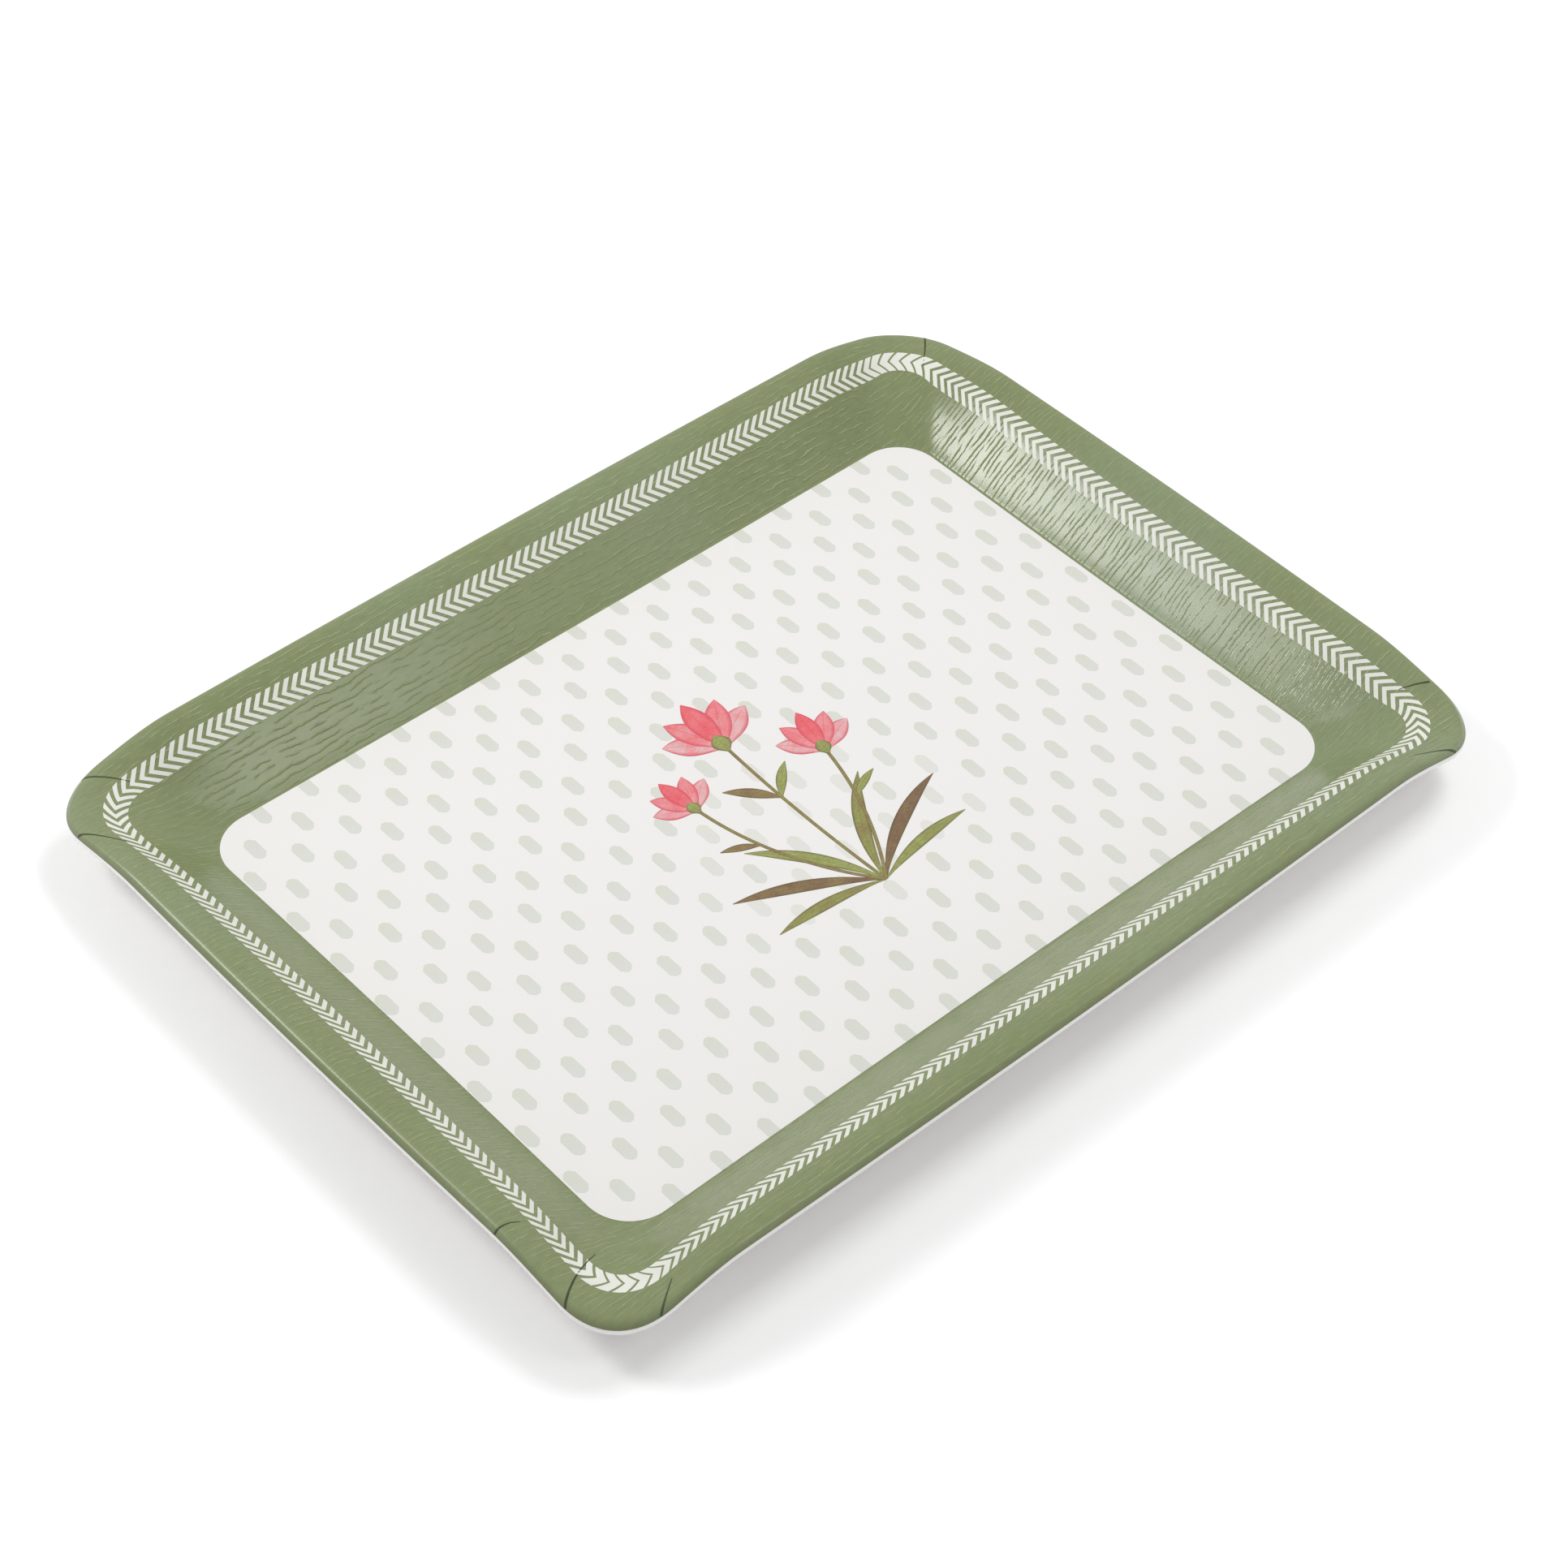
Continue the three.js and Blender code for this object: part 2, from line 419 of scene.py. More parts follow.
# A print is a set of thin closed patches on the face. A patch is a grid of plan points with a shade.
def printObject(name, patches, lift, sink=0.06, stagger=0.0):
    vertices = []
    faces = []
    places = []
    shades = []
    for rank, (grid, shade) in enumerate(patches):
        rows, columns = grid.shape[:2]
        faces += patchFaces(len(vertices), rows, columns, patchTurn(grid))
        spots = [faceSpot(x, y, pulls=8) for x, y in grid.reshape(-1, 2)]
        for height in (lift + stagger * rank, -sink):
            vertices += [spot + normal * height for spot, normal in spots]
            places += [(j / (rows - 1), i / (columns - 1)) for j in range(rows) for i in range(columns)]
            shades += [shade] * len(spots)
    obj = meshObject(name, vertices, faces)
    mesh = obj.data
    layer = mesh.uv_layers.new(name="place")
    order = np.zeros(len(mesh.loops), int)
    mesh.loops.foreach_get("vertex_index", order)
    layer.data.foreach_set("uv", np.array(places, float)[order].ravel())
    shade = mesh.attributes.new("shade", "FLOAT", "POINT")
    shade.data.foreach_set("value", np.array(shades, np.float32))
    return obj


chevronBand = {
    "outerHalf": (192.7, 140.1),
    "innerHalf": (184.8, 132.5),
    "outerCorner": 19.5,
    "innerCorner": 13.0,
    "pinch": (-2.9, -2.05),    # the printed band pinches in at mid-side, short sides then long sides
    "pitch": 3.97,
    "white": 0.53,             # white share of the pitch along the sides
    "cornerWhite": 0.78,       # at two opposite corners the print spreads and the gaps close up
    "lean": 4.5,               # how far the point of a chevron runs ahead of its arms
    "cornerLean": 3.4,
    "cornerReach": 13,         # the corners' middles, in from the band's outer line
    "bendStart": 17,           # distance from a corner at which the print starts to spread
    "bendEnd": 2,
    "cornerStretch": 0.14,     # how much longer the pitch is there
    "cells": 10,
    "lift": 0.04,
}


def bandChevrons():
    b = chevronBand
    outer = bowedOutline(np.array(b["outerHalf"]), b["outerCorner"], b["pinch"])[0]
    inner = bowedOutline(np.array(b["innerHalf"]), b["innerCorner"], b["pinch"])[0]
    middle = (outer + inner) / 2
    steps = np.linalg.norm(np.roll(middle, -1, axis=0) - middle, axis=1)
    lengths = np.concatenate([[0], np.cumsum(steps)])
    outer = np.vstack([outer, outer[:1]])
    inner = np.vstack([inner, inner[:1]])
    # how much of a corner a place along the band is, from 0 to 1
    middle = np.vstack([middle, middle[:1]])
    short = np.minimum(np.abs(middle) - (np.array(b["outerHalf"]) - b["cornerReach"]), 0)
    bend = 1 - smoothStep(np.hypot(*short.T), b["bendEnd"], b["bendStart"])
    wide = bend * (np.prod(middle, axis=1) > 0)
    pitches = b["pitch"] * (1 + b["cornerStretch"] * wide)
    turns = np.concatenate([[0], np.cumsum(steps * 2 / (pitches[1:] + pitches[:-1]))])
    count = round(turns[-1])

    def bandPoint(length, across):
        length = length % lengths[-1]
        return [np.interp(length, lengths, mix(inner[:, k], outer[:, k], across)) for k in (0, 1)]

    patches = []
    for i in range(count):
        start = np.interp(i * turns[-1] / count, turns, lengths)
        corner = np.interp(start, lengths, wide)
        pitch = np.interp(start, lengths, pitches)
        white = pitch * mix(b["white"], b["cornerWhite"], corner)
        lean = mix(b["lean"], b["cornerLean"], corner)
        grid = []
        for j in range(b["cells"] + 1):
            across = j / b["cells"]
            ahead = lean * (1 - abs(2 * across - 1)) - lean / 2
            grid.append([bandPoint(start + ahead + white * k / 2, across) for k in range(3)])
        patches.append((np.array(grid), random.random()))
    return printObject("chevron_band", patches, b["lift"])


panelMarks = {
    "pitch": 20.1,             # along the length, and the scale of the whole lattice
    "rowStep": 0.601,          # between rows, in pitches
    "shift": 0.44,             # every other row's shift, in pitches
    "firstColumn": -7.61,
    "firstRow": 4.8,
    "width": 4.9,
    "length": 10.4,
    "flat": 0.35,              # share of the width over which a mark's ends are flat
    "chamfer": 1.9,            # how far the ends fall back at their corners
    "edge": 0.1,               # clearance from the panel's edge
    "shortest": 1.2,           # a mark that the edge cuts shorter than this is left out
    "fadeEnd": 2,              # distances from the spray between which a mark gets its full strength
    "fadeStart": 11,
    "rows": (-2, 19),
    "columns": 17,
    "lift": 0.03,
}

# A plain spray of three simple flowers. Bearings are in degrees from +Y, turning towards +X.
spray = {
    "foot": (0.0, -55.0),
    "stems": [(-4, 8, 82), (-40, 34, 72), (36, -24, 64)],      # bearing at the foot, turn, length
    "stemWidth": 1.3,
    "flowerSizes": [1.0, 0.7, 0.8],                            # one for each stem
    "leaves": [                                                # bearing, turn, length, width, shade
        (-72, -24, 45, 4.6, 0.35), (-50, -24, 54, 5.2, 0.85), (-21, -30, 50, 5.2, 0.1),
        (17, 30, 52, 5.4, 0.4), (46, 30, 54, 5.2, 0.95), (70, 24, 44, 4.6, 0.2),
    ],
    "stemLeaves": [(0, -1, 1.0), (0, 1, 0.85), (2, 1, 0.7), (1, -1, 0.7)],     # stem, side, size
    "stemLeaf": {"length": 21, "width": 4.6, "bearing": 34, "turn": 20, "joint": 5},
    "petalPairs": 2,           # petals on each side of the middle one
    "petalLength": 27,
    "petalWidth": 9.6,
    "fan": 54,                 # bearing of the outermost petals from the flower's own
    "curl": 20,                # how far the outermost petals bend outwards
    "shortening": 0.16,        # how much shorter the outermost petals are
    "cup": (9, 7.4),           # length and width of the green cup under a flower
}

# The laps of the green sheet, along which painted shadow lines run: place on the rim, bearing, turn and
# length
lapCreases = [
    (-188, 150, 129, 8, 19), (-203, 128, 142, -2, 22), (201, 138, 219, 12, 19), (200, -122, -58, 0, 11),
    (183, -150, -70, 0, 18), (-203, -96, 92, 16, 9), (-203, -129, 52, 18, 26), (-183, -150, 56, 0, 13),
]


# Evenly spaced points of a line that starts on a bearing and turns steadily
def bendingLine(start, bearing, turn, length, count=9):
    angles = np.radians(bearing + turn * (np.arange(count - 1) + 0.5) / (count - 1))
    steps = np.column_stack([np.sin(angles), np.cos(angles)]) * length / (count - 1)
    return np.vstack([[0, 0], np.cumsum(steps, axis=0)]) + start


# A blade along a line: narrow at its foot, widest at the belly, pointed at its tip
def bladeStations(line, width, belly=0.5, foot=0.5, tip=0.3):
    share = np.linspace(0, 1, len(line))
    swell = np.sin(math.pi * share ** (math.log(0.5) / math.log(belly))) ** 0.85
    return np.column_stack([line, np.maximum(width * swell, mix(foot, tip, share))])


def sprayStems():
    lines = [bendingLine(spray["foot"], *stem) for stem in spray["stems"]]
    return [(np.column_stack([line, np.full(len(line), spray["stemWidth"])]), 0.55) for line in lines]


def sprayLeaves():
    leaves = []
    for bearing, turn, length, width, shade in spray["leaves"]:
        line = bendingLine(spray["foot"], bearing, turn, length)
        leaves.append((bladeStations(line, width, belly=0.55), shade))
    leaf = spray["stemLeaf"]
    for stem, side, size in spray["stemLeaves"]:
        bearing, turn, length = spray["stems"][stem]
        joint = bendingLine(spray["foot"], bearing, turn, length)[leaf["joint"]]
        bearing += turn * 0.6 + side * leaf["bearing"]
        line = bendingLine(joint, bearing, side * leaf["turn"], leaf["length"] * size)
        leaves.append((bladeStations(line, leaf["width"] * size, belly=0.5), 0.15 if side > 0 else 0.7))
    return leaves


# Each flower's foot and the bearing that it faces
def flowerFeet():
    return [(bendingLine(spray["foot"], *stem)[-1], stem[0] + stem[1]) for stem in spray["stems"]]


# A flower's petals as a fan, the outermost ones first so that the middle one lies on top
def flowerPetals(foot, bearing, size):
    pairs = spray["petalPairs"]
    petals = []
    for rank in range(pairs, -1, -1):
        for side in ((-1, 1) if rank else (1,)):
            share = rank / pairs
            length = spray["petalLength"] * size * (1 - spray["shortening"] * share)
            turn = side * share * spray["curl"]
            line = bendingLine(foot, bearing + side * share * spray["fan"] - turn / 2, turn, length)
            petals.append((bladeStations(line, spray["petalWidth"] * size, belly=0.56), 0.9 - 0.35 * rank))
    return petals


def sprayCups():
    cups = []
    length, width = spray["cup"]
    for (foot, bearing), size in zip(flowerFeet(), spray["flowerSizes"]):
        back = bendingLine(foot, bearing + 180, 0, 1.5 * size)[-1]
        line = bendingLine(back, bearing, 0, length * size)
        cups.append((bladeStations(line, width * size, belly=0.5, foot=1.3), 0.15))
    return cups


# A grid along a smooth middle line, as wide as its stations say
def ribbonGrid(stations, rows, columns):
    stations = np.array(stations, float)
    lengths = np.concatenate([[0], np.cumsum(np.hypot(*np.diff(stations[:, :2], axis=0).T))])
    at = np.linspace(0, lengths[-1], rows)
    line = np.column_stack([smoothThrough(lengths, stations[:, k], at) for k in (0, 1)])
    widths = np.maximum(smoothThrough(lengths, stations[:, 2], at), 0.12)
    heading = np.gradient(line, axis=0)
    heading /= np.linalg.norm(heading, axis=1, keepdims=True)
    sideways = np.column_stack([heading[:, 1], -heading[:, 0]])
    across = np.linspace(-0.5, 0.5, columns)
    return line[:, None, :] + sideways[:, None, :] * (widths[:, None] * across)[:, :, None]


# Ribbons that overlap are staggered in height, so that each lies clear of the one before
def ribbonPrint(name, pieces, lift, rows=26, columns=5, stagger=0.0):
    patches = [(ribbonGrid(stations, rows, columns), shade) for stations, shade in pieces]
    return printObject(name, patches, lift, stagger=stagger)


# A painted crease shadow starts just inside the rim's edge, thins out and ends on the wall
def creaseStations(x, y, bearing, turn, length):
    line = bendingLine((x, y), bearing, turn, length, count=33)
    onFace = [point for point in line if faceSpot(*point) is not None]
    widths = np.linspace(0.85, 0.25, len(onFace))
    return np.column_stack([onFace, widths])


def panelEdge(x):
    away = abs(x) - (panelHalf[0] - trayShape["panelCorner"])
    half = panelHalf[1] + trayShape["panelBow"] * math.cos(math.pi / 2 * x / panelHalf[0])
    if away <= 0:
        return half
    radius = trayShape["panelCorner"]
    return half - radius + math.sqrt(max(radius * radius - away * away, 0))


def panelMarkPrint():
    m = panelMarks
    drawn = np.vstack([stations[:, :2] for stations, _ in sprayLeaves() + sprayStems()])
    patches = []
    for row in range(*m["rows"]):
        y = m["pitch"] * (m["firstRow"] - m["rowStep"] * row)
        for column in range(m["columns"]):
            x = m["pitch"] * (m["firstColumn"] - m["shift"] * (row % 2) + column)
            if abs(x) + m["width"] / 2 > panelHalf[0] + trayShape["panelBow"] - m["edge"]:
                continue
            grid = []
            for share in np.linspace(-1, 1, 9):
                half = m["length"] / 2 - m["chamfer"] * max(abs(share) - m["flat"], 0) / (1 - m["flat"])
                limit = panelEdge(x + share * m["width"] / 2) - m["edge"]
                low = max(y - half, -limit)
                high = min(y + half, limit)
                grid.append([(x + share * m["width"] / 2, mix(low, high, k / 4)) for k in range(5)])
            if min(line[-1][1] - line[0][1] for line in grid) < m["shortest"]:
                continue
            near = np.hypot(*(drawn - (x, y)).T).min()
            patches.append((np.array(grid), float(smoothStep(near, m["fadeEnd"], m["fadeStart"]))))
    return printObject("panel_marks", patches, m["lift"])


random.seed(7)
band = bandChevrons()
marks = panelMarkPrint()
leaves = ribbonPrint("spray_leaves", sprayLeaves(), 0.045, stagger=0.003)
stems = ribbonPrint("spray_stems", sprayStems(), 0.085, rows=40, columns=3, stagger=0.003)
print("band, marks and leaves printed")

petals = []
for flower, ((foot, bearing), size) in enumerate(zip(flowerFeet(), spray["flowerSizes"])):
    for k, petal in enumerate(flowerPetals(foot, bearing, size)):
        petalName = f"flower_{flower + 1}_petal_{k + 1}"
        petals.append(ribbonPrint(petalName, [petal], 0.1 + 0.012 * k, columns=9))
cups = ribbonPrint("spray_cups", sprayCups(), 0.18)
creaseLines = [(creaseStations(*crease), 0.5) for crease in lapCreases]
creases = ribbonPrint("lap_crease_shadows", creaseLines, 0.05, rows=48, columns=3)
print("flowers and creases printed")


# Materials
def newMaterial(name, roughness):
    material = bpy.data.materials.new(name)
    material.use_nodes = True
    shader = material.node_tree.nodes["Principled BSDF"]
    shader.inputs["Roughness"].default_value = roughness
    return material, material.node_tree, shader


def linear(red, green, blue):
    def one(value):
        value /= 255
        return value / 12.92 if value <= 0.04045 else ((value + 0.055) / 1.055) ** 2.4
    return (one(red), one(green), one(blue), 1)


def addNode(tree, kind, **settings):
    node = tree.nodes.new(kind)
    for key, value in settings.items():
        if key in node.inputs:
            node.inputs[key].default_value = value
        else:
            setattr(node, key, value)
    return node


def stretchedPlace(tree, scale):
    place = addNode(tree, "ShaderNodeTexCoord")
    mapping = addNode(tree, "ShaderNodeMapping")
    mapping.inputs["Scale"].default_value = scale
    tree.links.new(place.outputs["Object"], mapping.inputs["Vector"])
    return mapping.outputs["Vector"]


def noiseAt(tree, vector, scale, detail=3.0, roughness=0.5, distortion=0.0):
    node = addNode(tree, "ShaderNodeTexNoise")
    node.inputs["Scale"].default_value = scale
    node.inputs["Detail"].default_value = detail
    node.inputs["Roughness"].default_value = roughness
    node.inputs["Distortion"].default_value = distortion
    tree.links.new(vector, node.inputs["Vector"])
    return node.outputs["Fac"]


def ramp(tree, value, stops):
    node = addNode(tree, "ShaderNodeValToRGB")
    elements = node.color_ramp.elements
    while len(elements) < len(stops):
        elements.new(0.5)
    for element, (position, colour) in zip(elements, stops):
        element.position = position
        element.color = colour if hasattr(colour, "__len__") else (colour, colour, colour, 1)
    tree.links.new(value, node.inputs["Fac"])
    return node.outputs["Color"]


def mixColour(tree, factor, first, second, blend="MIX"):
    node = addNode(tree, "ShaderNodeMix", data_type="RGBA", blend_type=blend)
    for socket, value in ((node.inputs[0], factor), (node.inputs[6], first), (node.inputs[7], second)):
        if isinstance(value, bpy.types.NodeSocket):
            tree.links.new(value, socket)
        else:
            socket.default_value = value
    return node.outputs[2]


def arithmetic(tree, operation, *values):
    node = addNode(tree, "ShaderNodeMath", operation=operation)
    for socket, value in zip(node.inputs, values):
        if isinstance(value, bpy.types.NodeSocket):
            tree.links.new(value, socket)
        else:
            socket.default_value = value
    return node.outputs[0]


def attribute(tree, name):
    return addNode(tree, "ShaderNodeAttribute", attribute_name=name)


def bumpFrom(tree, shader, height, strength, distance):
    bump = addNode(tree, "ShaderNodeBump")
    bump.inputs["Strength"].default_value = strength
    bump.inputs["Distance"].default_value = distance
    tree.links.new(height, bump.inputs["Height"])
    tree.links.new(bump.outputs["Normal"], shader.inputs["Normal"])


glaze = {
    "white": linear(232, 230, 227),
    "panel": linear(225, 223, 221),
    "green": linear(122, 133, 91),
    "deepGreen": linear(115, 126, 83),
    "greyGreen": linear(126, 138, 104),
    "rimShadeGreen": linear(86, 92, 66),      # painted shade: the green darkens towards the rim's edge, where the surface rolls away from the light
    # painted highlight for the raised grain lines and painted shade for the grooves beside them
    "ridgeLightGreen": linear(182, 190, 148),
    "grooveShadeGreen": linear(74, 84, 50),
    "chevron": linear(214, 214, 206),
    "mark": linear(205, 206, 195),
    "coolMark": linear(205, 207, 201),
}


pressedGrain = {
    "spacing": 0.0021,         # between neighbouring lines
    "waver": 1.2,              # how far a line wanders, in spacings
    "lineShare": 0.13,         # half a line's width, as a share of the spacing
    "groove": 0.15,            # from a raised line to the groove beside it, in spacings
    "depth": 0.0001,
    "paintedRidgeLight": 0.45,         # painted highlight: how much lighter a raised line is painted
    "paintedGrooveShade": 0.29,       # painted shade: how much darker the groove beside it is painted
    "drift": (48, 95, 0),      # scales along, across and up of the noise that bends the lines
    "breaks": (100, 460, 0),   # and of those that break them up and thin them out
    "regions": (11, 18, 0),
}


# Pressed grain: broken wavy raised lines along the tray's length, each with a groove beside it
def pressedLines(tree):
    place = addNode(tree, "ShaderNodeTexCoord").outputs["Object"]
    parts = addNode(tree, "ShaderNodeSeparateXYZ")
    tree.links.new(place, parts.inputs["Vector"])
    drift = noiseAt(tree, stretchedPlace(tree, pressedGrain["drift"]), 1.0, detail=5.0, roughness=0.62)
    lines = arithmetic(tree, "DIVIDE", parts.outputs["Y"], pressedGrain["spacing"])
    lines = arithmetic(tree, "ADD", lines, arithmetic(tree, "MULTIPLY", drift, 2 * pressedGrain["waver"]))
    breaks = noiseAt(tree, stretchedPlace(tree, pressedGrain["breaks"]), 1.0, detail=2.0)
    regions = noiseAt(tree, stretchedPlace(tree, pressedGrain["regions"]), 1.0)
    unbroken = ramp(tree, breaks, [(0.44, 0.0), (0.5, 1.0)])
    strength = ramp(tree, regions, [(0.3, 0.3), (0.6, 1.0)])
    presence = arithmetic(tree, "MULTIPLY", unbroken, strength)

    def lineAt(offset):
        away = arithmetic(tree, "PINGPONG", arithmetic(tree, "ADD", lines, offset), 0.5)
        ridge = ramp(tree, away, [(0.0, 1.0), (pressedGrain["lineShare"], 0.0)])
        return arithmetic(tree, "MULTIPLY", ridge, presence)

    return lineAt(0.0), lineAt(pressedGrain["groove"])


greenFinish = {
    "ior": 1.58,
    "roughness": (0.22, 0.28),
    "crestRoughness": 0.07,            # added where the sheet turns over the crest
    # strength of the painted shade towards the rim's edge
    "edgeShade": 0.5,
    "speckle": (250, 900, 300),
    "fineGrain": (500, 2600, 500),
    "fineHeight": 0.05,                # heights are shares of the pressed lines' depth
    "grooveHeight": 0.7,
}


# The green sheet: clouded green glaze, pressed grain that fades out over the crest with a painted highlight
# on each raised line and painted shade in its groove, and painted shade darkening the rim's edge
def grainedGreen():
    look = greenFinish
    material, tree, shader = newMaterial("grained_green_glaze", 0.25)
    shader.inputs["IOR"].default_value = look["ior"]
    cloud = noiseAt(tree, stretchedPlace(tree, (1, 1, 1)), 9.0, detail=4.0)
    body = ramp(tree, cloud, [(0.3, glaze["deepGreen"]), (0.5, glaze["green"]), (0.72, glaze["greyGreen"])])
    speckle = noiseAt(tree, stretchedPlace(tree, look["speckle"]), 1.0, detail=3.0)
    colour = mixColour(tree, 1.0, body, ramp(tree, speckle, [(0.3, 0.92), (0.7, 1.06)]), "MULTIPLY")
    overCrest = attribute(tree, "rim").outputs["Fac"]
    pressed = ramp(tree, overCrest, [(0.2, 1.0), (0.7, 0.1)])
    raised, groove = (arithmetic(tree, "MULTIPLY", line, pressed) for line in pressedLines(tree))
    # painted highlight along the raised lines and painted shade in their grooves; the bump below is the real
    # grain
    ridgeLight = arithmetic(tree, "MULTIPLY", raised, pressedGrain["paintedRidgeLight"])
    grooveShade = arithmetic(tree, "MULTIPLY", groove, pressedGrain["paintedGrooveShade"])
    colour = mixColour(tree, ridgeLight, colour, glaze["ridgeLightGreen"])
    colour = mixColour(tree, grooveShade, colour, glaze["grooveShadeGreen"])
    # painted shade darkening the green towards the rim's edge
    edge = ramp(tree, overCrest, [(0.8, 0.0), (1.0, look["edgeShade"])])
    tree.links.new(mixColour(tree, edge, colour, glaze["rimShadeGreen"]), shader.inputs["Base Color"])
    smooth, rough = look["roughness"]
    finish = ramp(tree, cloud, [(0.3, smooth), (0.7, rough)])
    matt = ramp(tree, overCrest, [(0.0, 0.0), (0.6, look["crestRoughness"])])
    tree.links.new(arithmetic(tree, "ADD", finish, matt), shader.inputs["Roughness"])
    fine = noiseAt(tree, stretchedPlace(tree, look["fineGrain"]), 1.0, detail=2.0)
    sunkLine = arithmetic(tree, "MULTIPLY", groove, look["grooveHeight"])
    height = arithmetic(tree, "SUBTRACT", raised, sunkLine)
    height = arithmetic(tree, "ADD", height, arithmetic(tree, "MULTIPLY", fine, look["fineHeight"]))
    bumpFrom(tree, shader, height, 1.0, pressedGrain["depth"])
    return material


# Glossy white, very slightly clouded and wavy
def glazedWhite(name, colour, roughness, waviness):
    material, tree, shader = newMaterial(name, roughness)
    place = stretchedPlace(tree, (1, 1, 1))
    cloud = noiseAt(tree, place, 14.0, detail=4.0)
    dim = tuple(c * 0.99 for c in colour[:3]) + (1,)
    tree.links.new(ramp(tree, cloud, [(0.25, dim), (0.75, colour)]), shader.inputs["Base Color"])
    rough = ramp(tree, noiseAt(tree, place, 60.0), [(0.3, roughness * 0.85), (0.7, roughness * 1.15)])
    tree.links.new(rough, shader.inputs["Roughness"])
    bumpFrom(tree, shader, noiseAt(tree, place, 130.0, detail=2.0), waviness, 0.0001)
    return material


# Where a point lies across its patch, from 0 at one side to 1 at the other
def placeAcross(tree):
    parts = addNode(tree, "ShaderNodeSeparateXYZ")
    tree.links.new(attribute(tree, "place").outputs["Vector"], parts.inputs["Vector"])
    return parts.outputs["Y"]


# How close a point is to its patch's sides: 0 in the middle, 1 at the edge
def edgeCloseness(tree):
    centred = arithmetic(tree, "ABSOLUTE", arithmetic(tree, "SUBTRACT", placeAcross(tree), 0.5))
    return arithmetic(tree, "MULTIPLY", centred, 2.0)


leafLook = {
    "stops": [                 # colours by a patch's shade
        (0.0, linear(150, 158, 92)), (0.35, linear(140, 140, 80)),
        (0.65, linear(138, 118, 78)), (1.0, linear(122, 96, 72)),
    ],
    "outline": linear(92, 80, 54),
    "hatch": 0.22,
    "outlineStrength": 0.7,
    "midrib": 0.35,
}
petalLook = {
    "stops": [
        (0.0, linear(216, 182, 182)), (0.35, linear(222, 148, 152)),
        (0.7, linear(224, 118, 124)), (1.0, linear(222, 96, 104)),
    ],
    "outline": linear(202, 74, 90),
    "hatch": 0.16,
    "outlineStrength": 0.85,
    "midrib": 0.45,
}


# Watercolour print: a colour by shade, soft blotches, fine brush hatching, a drawn outline and midrib
def watercolour(name, look):
    material, tree, shader = newMaterial(name, 0.14)
    shade = attribute(tree, "shade").outputs["Fac"]
    closeness = edgeCloseness(tree)
    blotch = noiseAt(tree, stretchedPlace(tree, (1, 1, 1)), 170.0, detail=3.0)
    wandering = arithmetic(tree, "MULTIPLY", arithmetic(tree, "SUBTRACT", blotch, 0.5), 0.9)
    body = ramp(tree, arithmetic(tree, "ADD", shade, wandering), look["stops"])
    strokes = noiseAt(tree, stretchedPlace(tree, (500, 2600, 1)), 1.0, detail=2.0)
    hatch = ramp(tree, strokes, [(0.35, 1.0 - look["hatch"]), (0.65, 1.0 + look["hatch"] * 0.4)])
    hatched = mixColour(tree, 1.0, body, hatch, "MULTIPLY")
    edge = ramp(tree, closeness, [(0.62, 0.0), (0.97, look["outlineStrength"])])
    outlined = mixColour(tree, edge, hatched, look["outline"])
    rib = ramp(tree, closeness, [(0.0, look["midrib"]), (0.09, 0.0)])
    tree.links.new(mixColour(tree, rib, outlined, look["outline"]), shader.inputs["Base Color"])
    return material


# One ink that varies a little from place to place
def blotchedPrint(name, first, second, roughness, scale=90.0, detail=3.0):
    material, tree, shader = newMaterial(name, roughness)
    blotch = noiseAt(tree, stretchedPlace(tree, (1, 1, 1)), scale, detail=detail)
    tree.links.new(ramp(tree, blotch, [(0.3, second), (0.7, first)]), shader.inputs["Base Color"])
    return material


# The panel marks' ink is warmer towards one end and thins out near the spray
def markPrint():
    material, tree, shader = newMaterial("mark_print", 0.12)
    shade = attribute(tree, "shade").outputs["Fac"]
    blotch = noiseAt(tree, stretchedPlace(tree, (1, 1, 1)), 90.0, detail=3.0)
    wandering = arithmetic(tree, "MULTIPLY", arithmetic(tree, "SUBTRACT", blotch, 0.35), 0.9)
    warmth = arithmetic(tree, "ADD", arithmetic(tree, "MULTIPLY", placeAcross(tree), 0.7), wandering)
    ink = ramp(tree, warmth, [(0.25, glaze["coolMark"]), (0.85, glaze["mark"])])
    strength = ramp(tree, shade, [(0.0, 0.6), (1.0, 1.0)])
    tree.links.new(mixColour(tree, strength, glaze["panel"], ink), shader.inputs["Base Color"])
    return material


whiteMoulding = glazedWhite("white_moulding", glaze["white"], 0.3, 0.1)
whiteSheet = glazedWhite("white_glazed_sheet", glaze["panel"], 0.12, 0.04)
greenSheet = grainedGreen()
cutEdge = blotchedPrint("sheet_cut_edge", linear(96, 100, 78), linear(78, 80, 62), 0.5)
chevronInk = blotchedPrint("chevron_print", glaze["chevron"], linear(220, 221, 213), 0.45)
markInk = markPrint()
leafInk = watercolour("leaf_print", leafLook)
petalInk = watercolour("petal_print", petalLook)
# painted shadow along the laps of the green sheet
creaseShadowPaint = blotchedPrint("crease_shadow", linear(66, 77, 48), linear(50, 60, 36), 0.5, scale=200.0)

looks = [
    (moulding, whiteMoulding, "white_melamine"),
    (border, greenSheet, "green_decor"),
    (centre, whiteSheet, "white_decor"),
    (band, chevronInk, "band_ink"),
    (marks, markInk, "mark_ink"),
    (leaves, leafInk, "leaf_ink"),
    (stems, leafInk, "leaf_ink"),
    (cups, leafInk, "leaf_ink"),
    (creases, creaseShadowPaint, "green_decor"),
] + [(petal, petalInk, "petal_ink") for petal in petals]
for piece, material, slotName in looks:
    piece.data.materials.append(material)
    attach(piece, "root")
border.data.materials.append(cutEdge)
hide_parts("tray_body")
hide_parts("border_foil")
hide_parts("centre_foil")
print("materials set on", len(looks), "pieces")

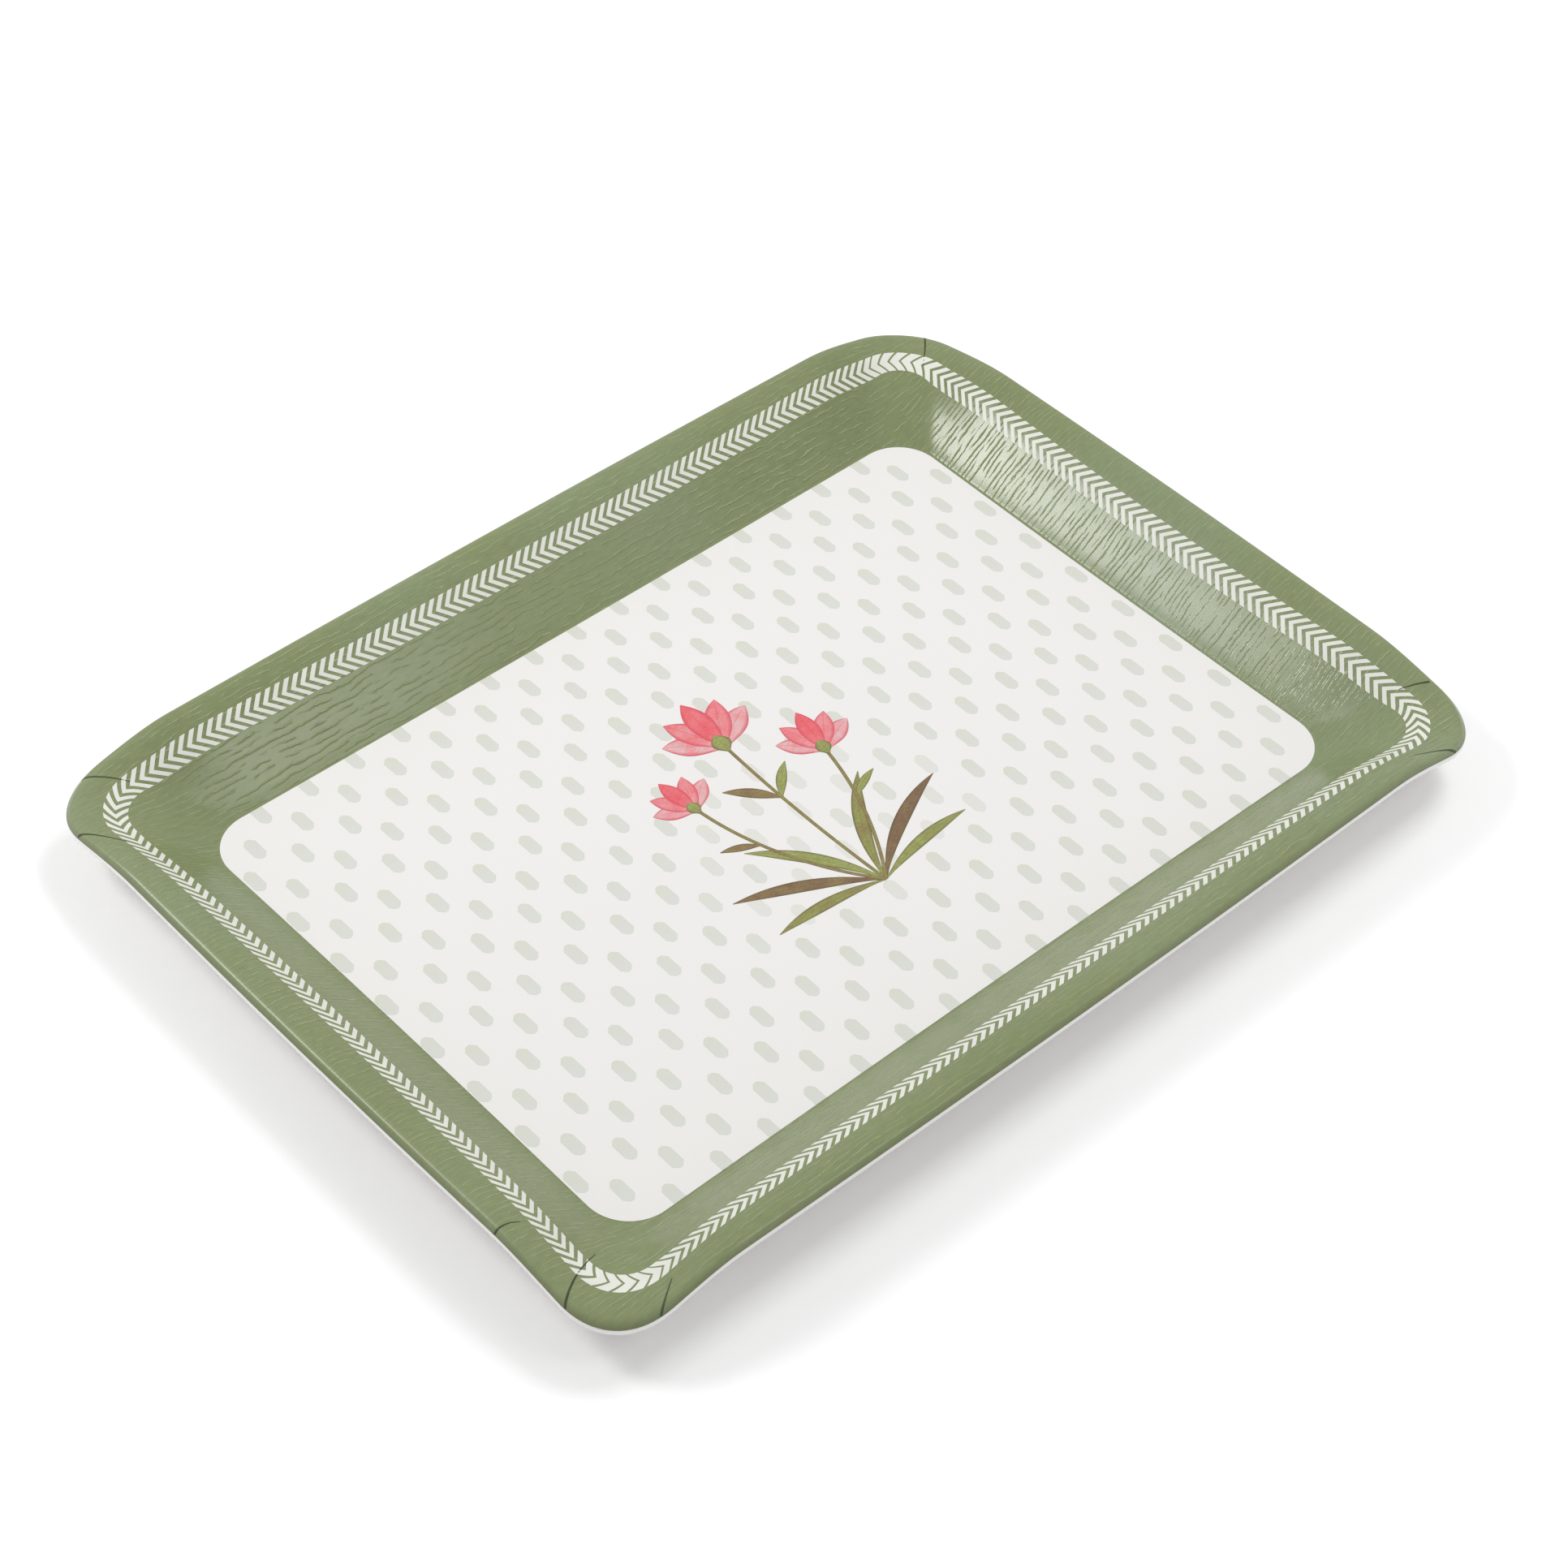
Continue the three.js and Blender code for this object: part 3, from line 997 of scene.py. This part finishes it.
studio = {
    "floorSize": 8.0,
    "world": 0.62,
    "sheen": {"at": (-0.6, 0.82, 0.98), "size": (0.4, 0.36), "watts": 7.0, "aim": (0.15, 0.0, 0.0),
              "mirrored": True},
    "top": {"at": (1.25, 0.04, 1.8), "size": (0.9, 0.6), "watts": 16, "aim": (0.0, 0.0, 0.0),
            "mirrored": False},    # lights the tray and floor without a glare in the corners
    "fill": {"at": (0.36, -0.72, 0.98), "size": (0.35, 0.35), "watts": 1.4, "aim": (-0.1, 0.1, 0.0),
             "mirrored": True},
    "cameraAt": (-0.5990, -0.6299, 0.9027),
    "cameraAim": (0.0048, 0.0021, 0.005),
    "cameraRoll": 2.21,
    "lens": 82.5,
}


def facing(start, end):
    return (Vector(end) - Vector(start)).to_track_quat("-Z", "Y")


def areaLight(name, setting):
    data = bpy.data.lights.new(name, "AREA")
    data.shape = "RECTANGLE"
    data.size, data.size_y = setting["size"]
    data.energy = setting["watts"]
    lamp = bpy.data.objects.new(name, data)
    lamp.location = setting["at"]
    lamp.visible_glossy = setting["mirrored"]
    lamp.rotation_euler = facing(setting["at"], setting["aim"]).to_euler()
    bpy.context.scene.collection.objects.link(lamp)


def floorPlane():
    half = studio["floorSize"] / 2
    mesh = bpy.data.meshes.new("floor")
    corners = [(-half, -half, 0), (half, -half, 0), (half, half, 0), (-half, half, 0)]
    mesh.from_pydata(corners, [], [(0, 1, 2, 3)])
    floor = bpy.data.objects.new("floor", mesh)
    bpy.context.scene.collection.objects.link(floor)
    material, tree, shader = newMaterial("pale_floor", 0.9)
    shader.inputs["Base Color"].default_value = (0.95, 0.95, 0.95, 1)
    shader.inputs["Specular IOR Level"].default_value = 0.0
    mesh.materials.append(material)


def studioCamera():
    data = bpy.data.cameras.new("camera")
    data.lens = studio["lens"]
    data.sensor_width = 36
    camera = bpy.data.objects.new("camera", data)
    turn = facing(studio["cameraAt"], studio["cameraAim"]).to_matrix().to_4x4()
    roll = Matrix.Rotation(math.radians(studio["cameraRoll"]), 4, "Z")
    camera.matrix_world = Matrix.Translation(studio["cameraAt"]) @ turn @ roll
    bpy.context.scene.collection.objects.link(camera)
    bpy.context.scene.camera = camera


floorPlane()
for lampName in ("sheen", "top", "fill"):
    areaLight(lampName + "_softbox", studio[lampName])
world = bpy.data.worlds.new("studio")
world.use_nodes = True
world.node_tree.nodes["Background"].inputs["Color"].default_value = (1, 1, 1, 1)
world.node_tree.nodes["Background"].inputs["Strength"].default_value = studio["world"]
bpy.context.scene.world = world
bpy.context.scene.view_settings.view_transform = "Standard"
studioCamera()
print("studio ready")
